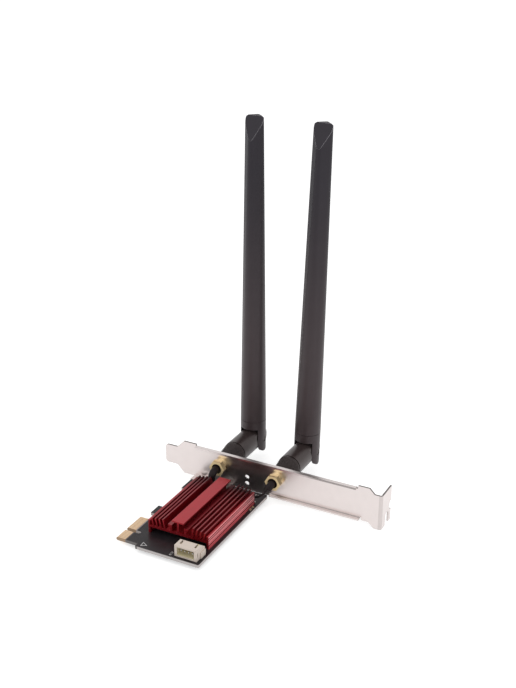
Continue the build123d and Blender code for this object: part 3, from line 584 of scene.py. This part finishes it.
def header_finish(colours):
    """Moulded cream with painted shade inside the mouth, yellowish, and in the two slots in its top, deeper
    towards their rear.
    """
    low, high = box_mm("usb_header")
    middle = (low[0] + high[0]) / 2
    middle_height = (low[2] + high[2]) / 2
    mouth_half_width = 4.48
    mouth_half_height = 2.03
    slot_place = 3.85
    slot_half_width = 0.52
    slot_front = -6.78
    finish = Finish("header_cream")
    x, y, z = finish.axes()
    across = abs(x - middle)
    # Painted shade, yellowish, inside the mouth
    mouth = (across < mouth_half_width) * (abs(z - middle_height) < mouth_half_height)
    mouth = mouth * (y > low[1] + 0.05)
    # Painted shade in the two slots, deeper towards their rear
    slot = (abs(across - slot_place) < slot_half_width) * finish.within(z, 4.16, 6.56)
    slot = slot * finish.within(y, slot_front, high[1] - 0.02)
    shadow = slot * (finish.step(y, -5.2, -3.6) * 0.6 + 0.3)
    fine = finish.noise(6.0, 3.0)
    cloud = finish.noise(0.18, 3.0)
    tone = finish.blend(cloud * 0.7 + fine * 0.3, shade(colours.cream, 0.92), shade(colours.cream, 1.08))
    inside = finish.blend(mouth, tone, colours.mouth)
    return finish.surface(
        base_color=finish.blend(shadow, inside, colours.slot),
        roughness=finish.between(cloud, 0.40, 0.50),
        normal=finish.bump(fine, 0.006),
    )


def chip_finish(colours):
    """Small parts with bright ends: dark bodies near the bracket, tan ones beside the heat sink."""
    tan_end = 47.0
    tan_middle = 43.15
    tan_offset = 1.2
    dark_middle = 41.5
    dark_offset = 1.1
    dark_split = 52.0
    body_half = 0.48
    finish = Finish("chip_body")
    x, y, _ = finish.axes()
    front = y < tan_end
    along = abs(abs(y - tan_middle) - tan_offset)
    across = abs(x - dark_middle - dark_offset * (y < dark_split))
    ends = front * along + (1 - front) * across > body_half
    grain = finish.noise(5.0, 3.0)
    body = finish.blend(front, colours.chip, colours.chip_tan)
    speckled = finish.blend(grain * 0.4, body, BLACK)
    return finish.surface(
        base_color=finish.blend(ends, speckled, colours.chip_end),
        metallic=ends,
        roughness=0.35,
        normal=finish.bump(grain, 0.01),
    )


def board_print_finish(colours):
    """White print with thin spots."""
    finish = Finish("board_print")
    thin = finish.noise(5.0, 2.0)
    tone = finish.blend(thin, shade(colours.print_white, 0.7), colours.print_white)
    return finish.surface(base_color=tone, roughness=0.6)


def print_ribbon(corners, width, thickness, floor):
    """Closed ribbon inside the corners: two rings of the grid are the outline, and two are the outline with
    each corner moved towards the middle by twice the width, each pair at the ribbon's two heights."""
    middle = corners.mean(axis=0)
    arms = corners - middle
    reach = np.linalg.norm(arms, axis=1, keepdims=True)
    inner = middle + arms * (1 - 2 * width / reach)
    levels = np.array([floor, floor + thickness, floor + thickness, floor])
    rings = np.stack([inner, inner, corners, corners])
    heights = np.broadcast_to(levels[:, None, None], (len(levels), len(corners), 1))
    return np.concatenate([rings, heights], axis=2)


class CARD_OT_board(bpy.types.Operator):
    """Finish the board and its contacts, and print its marks"""

    bl_idname = "card.board"
    bl_label = "Board"

    def execute(self, context):
        colours = context.scene.card_looks.colours
        dress(board_finish(colours), "pcb")
        dress(plated_finish("contact_gold", colours.gold, polish=0.3, along="X"), "edge_contacts")
        lacquer = moulded_finish("module_board", colours.module, gloss=0.4, grain=4.0, relief=0.01)
        dress(lacquer, "radio_board")
        white = board_print_finish(colours)
        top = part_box("pcb")[1][2]
        thickness = 0.03 * MM
        triangle = np.array([(13.93, -9.28), (16.83, -7.76), (13.6, -5.98)]) * MM
        ribbon = print_ribbon(triangle, 0.3 * MM, thickness, top)
        grid_piece("warning_mark", ribbon, white, "card", False)
        corner = np.array([(29.5, -9.3), (30.4, -9.3), (30.4, -6.6), (29.5, -6.6)]) * MM
        ribbon = print_ribbon(corner, 0.2 * MM, thickness, top)
        grid_piece("header_mark", ribbon, white, "card", False)
        return {"FINISHED"}


class CARD_OT_bracket(bpy.types.Operator):
    """Plate the bracket and its screws"""

    bl_idname = "card.bracket"
    bl_label = "Bracket and screws"

    def execute(self, context):
        colours = context.scene.card_looks.colours
        dress(bracket_finish(colours), "bracket")
        dress(plated_finish("screw_steel", colours.steel, polish=0.3, along="Z"), "bracket_screws")
        return {"FINISHED"}


class CARD_OT_heat_sink(bpy.types.Operator):
    """Anodise the heat sink and finish what it covers"""

    bl_idname = "card.heat_sink"
    bl_label = "Heat sink and radio can"

    def execute(self, context):
        colours = context.scene.card_looks.colours
        dress(heat_sink_finish(colours), "heat_sink")
        dress(plated_finish("shield_tin", colours.steel, polish=0.35, along="Y"), "radio_shield")
        pad = moulded_finish("pad_grey", colours.pad, gloss=0.85, grain=2.0, relief=0.03)
        dress(pad, "thermal_pad")
        return {"FINISHED"}


class CARD_OT_header(bpy.types.Operator):
    """Finish the header, its pins and the small parts on the board"""

    bl_idname = "card.header"
    bl_label = "Header and small parts"

    def execute(self, context):
        colours = context.scene.card_looks.colours
        dress(header_finish(colours), "usb_header")
        dress(plated_finish("pin_tin", colours.steel, polish=0.3, along="Y"), "header_pins")
        dress(chip_finish(colours), "board_parts")
        return {"FINISHED"}


class CARD_OT_jacks(bpy.types.Operator):
    """Finish the jacks, their leads and the plugs on the board"""

    bl_idname = "card.jacks"
    bl_label = "Jacks and leads"

    def execute(self, context):
        colours = context.scene.card_looks.colours
        dress(jack_finish(colours), "left_jack", "right_jack", "jack_nuts")
        contact = NODES["edge_contacts"].data.materials[0]
        dress(contact, "jack_pins", "left_contact", "right_contact")
        plug = plated_finish("connector_gold", colours.gold, polish=0.3, along="Z")
        dress(plug, "coax_sockets", "left_coax_plug", "right_coax_plug")
        core = moulded_finish("insulator_white", colours.insulator, gloss=0.5, grain=3.0, relief=0.01)
        dress(core, "jack_cores")
        jacket = moulded_finish(
            "lead_black", colours.jacket, gloss=0.42, grain=3.0, relief=0.01, shine=0.15, tint=WARM
        )
        dress(jacket, "left_lead", "right_lead")
        sleeve = moulded_finish(
            "sleeve_black", colours.jacket, gloss=0.34, grain=4.0, relief=0.02, shine=0.15, tint=WARM
        )
        dress(sleeve, "left_sleeve", "right_sleeve")
        return {"FINISHED"}


class CARD_OT_antennas(bpy.types.Operator):
    """Finish the barrels, knuckles and masts of the antennas"""

    bl_idname = "card.antennas"
    bl_label = "Antennas"

    def execute(self, context):
        colours = context.scene.card_looks.colours
        matte = antenna_finish(colours)
        satin = moulded_finish(
            "barrel_black", colours.barrel, gloss=0.34, grain=5.0, relief=0.006, shine=0.45, tint=WARM
        )
        dark = moulded_finish(
            "hinge_dark", colours.barrel, gloss=0.45, grain=5.0, relief=0.01, shine=0.4, tint=WARM
        )
        brass = plated_finish("radiator_brass", colours.gold, polish=0.3, along="Z")
        for side in SIDES:
            dress(matte, f"{side}_knuckle", f"{side}_mast")
            dress(satin, f"{side}_barrel")
            dress(dark, f"{side}_hinge_pin")
            dress(brass, f"{side}_radiator")
        return {"FINISHED"}


def knurled_nut(sizes, low, high):
    """Closed profile of the nut carried round its axis. Two families of grooves, equally slanted, run round
    the tapered outside: each is a triangle wave of turn plus or minus travel, cut off above the groove's
    share, and the deeper of the two sets the surface back. The rims at both ends stay plain and round off."""
    rows = 120
    columns_per_diamond = 8
    round_off = 0.5 * MM
    fade_length = 0.5 * MM
    diamond_slant = 1.15
    middle_x = (low[0] + high[0]) / 2
    middle_z = (low[2] + high[2]) / 2
    start, end = low[1], high[1]
    rear = (high[0] - low[0]) / 2
    front = rear * sizes.taper
    columns = sizes.diamonds * columns_per_diamond
    travel = np.linspace(0.0, 1.0, rows)
    along = start + (end - start) * travel
    radius = front + (rear - front) * travel
    from_end = np.minimum(along - start, end - along)
    inset = round_off - np.sqrt(np.maximum(0.0, round_off**2 - np.maximum(0.0, round_off - from_end) ** 2))
    turn = np.arange(columns) / columns
    pitch = 2 * np.pi * rear / sizes.diamonds
    advance = (along - start) / (diamond_slant * pitch)
    left_hand = turn[None, :] * sizes.diamonds + advance[:, None]
    right_hand = turn[None, :] * sizes.diamonds - advance[:, None]
    waves = [2 * np.abs(phase - np.floor(phase) - 0.5) for phase in (left_hand, right_hand)]
    grooves = [np.clip((wave - 1 + sizes.groove) / sizes.groove, 0.0, 1.0) for wave in waves]
    fade = np.clip((from_end - sizes.rim) / fade_length, 0.0, 1.0)
    depth = sizes.depth * np.maximum(*grooves) * fade[:, None]
    outside = (radius - inset)[:, None] - depth
    bore_along = np.array([end, end - sizes.lip_length, end - sizes.lip_length, start])
    bore_radius = np.array([sizes.lip, sizes.lip, sizes.bore, sizes.bore])
    all_along = np.concatenate([along, bore_along])
    all_radius = np.concatenate([outside, np.broadcast_to(bore_radius[:, None], (len(bore_radius), columns))])
    angle = 2 * np.pi * turn
    return np.stack(
        [
            middle_x + all_radius * np.cos(angle),
            np.broadcast_to(all_along[:, None], all_radius.shape),
            middle_z - all_radius * np.sin(angle),
        ],
        axis=-1,
    )


class CARD_OT_coupling_nuts(bpy.types.Operator):
    """Cut the diamond grip round the coupling nuts"""

    bl_idname = "card.coupling_nuts"
    bl_label = "Coupling nuts"

    def execute(self, context):
        looks = context.scene.card_looks
        grip = moulded_finish(
            "coupling_black", looks.colours.grip, gloss=0.34, grain=5.0, relief=0.006, shine=0.4, tint=WARM
        )
        for side in SIDES:
            node = f"{side}_coupling_nut"
            dress(grip, node)
            points = knurled_nut(looks.knurl, *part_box(node))
            piece = grid_piece(f"{side}_knurled_nut", points, grip, f"{side}_coupling")
            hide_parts(node)
        return {"FINISHED"}


class CARD_OT_studio(bpy.types.Operator):
    """Lay the floor, hang the lights, and set the camera and the world"""

    bl_idname = "card.studio"
    bl_label = "Studio"

    def execute(self, context):
        scene = context.scene
        studio = scene.card_looks.studio
        scene.view_settings.view_transform = "Standard"
        self.lay_floor(scene, studio)
        self.hang_light(scene, "key_light", KEY_PLACE, KEY_SIZE, studio.key)
        self.hang_light(scene, "fill_light", FILL_PLACE, FILL_SIZE, studio.fill)
        self.set_world(scene, studio)
        self.set_camera(scene, studio)
        return {"FINISHED"}

    def lay_floor(self, scene, studio):
        """Flat floor just under the card."""
        finish = Finish("pale_floor")
        cloud = finish.noise(0.01)
        tone = finish.blend(cloud, shade(studio.floor, 0.99), studio.floor)
        material = finish.surface(
            base_color=tone,
            roughness=0.9,
            specular_ior_level=0.0,
            emission_color=finish.blend(finish.seen(), BLACK, WHITE),
            emission_strength=studio.glow,
        )
        level = CAD_BOX[0][2] - FLOOR_GAP
        signs = ((-1, -1), (1, -1), (1, 1), (-1, 1))
        corners = [(x * FLOOR_REACH, y * FLOOR_REACH, level) for x, y in signs]
        mesh = bpy.data.meshes.new("floor")
        mesh.from_pydata(corners, [], [(0, 1, 2, 3)])
        mesh.materials.append(material)
        floor = bpy.data.objects.new("floor", mesh)
        scene.collection.objects.link(floor)

    def hang_light(self, scene, name, place, size, power):
        """Square soft light aimed at the heat sink."""
        data = bpy.data.lights.new(name, "AREA")
        data.shape = "SQUARE"
        data.size = size
        data.energy = power
        light = bpy.data.objects.new(name, data)
        aim = Vector(LIGHT_AIM) - Vector(place)
        light.matrix_world = Matrix.Translation(place) @ aim.to_track_quat("-Z", "Y").to_matrix().to_4x4()
        scene.collection.objects.link(light)

    def set_world(self, scene, studio):
        """White where the camera or a reflection looks at it, softer as a light."""
        sky = Finish("studio_white", bpy.data.worlds)
        light = sky.node(
            "ShaderNodeBackground", None,
            {"Color": (*WHITE, 1.0), "Strength": sky.between(sky.seen(), studio.ambient, 1.0)},
        )
        sky.node("ShaderNodeOutputWorld", None, {"Surface": light})
        scene.world = sky.block

    def set_camera(self, scene, studio):
        """Camera with its right and back directions as stated."""
        right = Vector(studio.right).normalized()
        back = Vector(studio.back).normalized()
        up = back.cross(right).normalized()
        right = up.cross(back)
        turn = Matrix((right, up, back)).transposed().to_4x4()
        data = bpy.data.cameras.new("photo_camera")
        data.sensor_width = 36.0
        data.lens = studio.lens
        data.clip_start = 0.01
        camera = bpy.data.objects.new("photo_camera", data)
        camera.matrix_world = Matrix.Translation(studio.eye) @ turn
        scene.collection.objects.link(camera)
        scene.camera = camera


PIECES = (
    CARD_OT_board,
    CARD_OT_bracket,
    CARD_OT_heat_sink,
    CARD_OT_header,
    CARD_OT_jacks,
    CARD_OT_antennas,
    CARD_OT_coupling_nuts,
    CARD_OT_studio,
)


class CARD_PT_pieces(bpy.types.Panel):
    """Lists the card's pieces and the studio"""

    bl_idname = "CARD_PT_pieces"
    bl_label = "Wireless card"
    bl_space_type = "VIEW_3D"
    bl_region_type = "UI"
    bl_category = "Wireless card"

    def draw(self, context):
        for piece in PIECES:
            self.layout.operator(piece.bl_idname)


CLASSES = (CardColours, KnurlSizes, StudioSizes, CardLooks, *PIECES, CARD_PT_pieces)


def register():
    for cls in CLASSES:
        bpy.utils.register_class(cls)
    bpy.types.Scene.card_looks = PointerProperty(type=CardLooks)


def unregister():
    del bpy.types.Scene.card_looks
    for cls in reversed(CLASSES):
        bpy.utils.unregister_class(cls)


def main():
    register()
    bpy.ops.card.board()
    bpy.ops.card.bracket()
    bpy.ops.card.heat_sink()
    bpy.ops.card.header()
    bpy.ops.card.jacks()
    bpy.ops.card.antennas()
    bpy.ops.card.coupling_nuts()
    bpy.ops.card.studio()


if __name__ == "__main__":
    main()
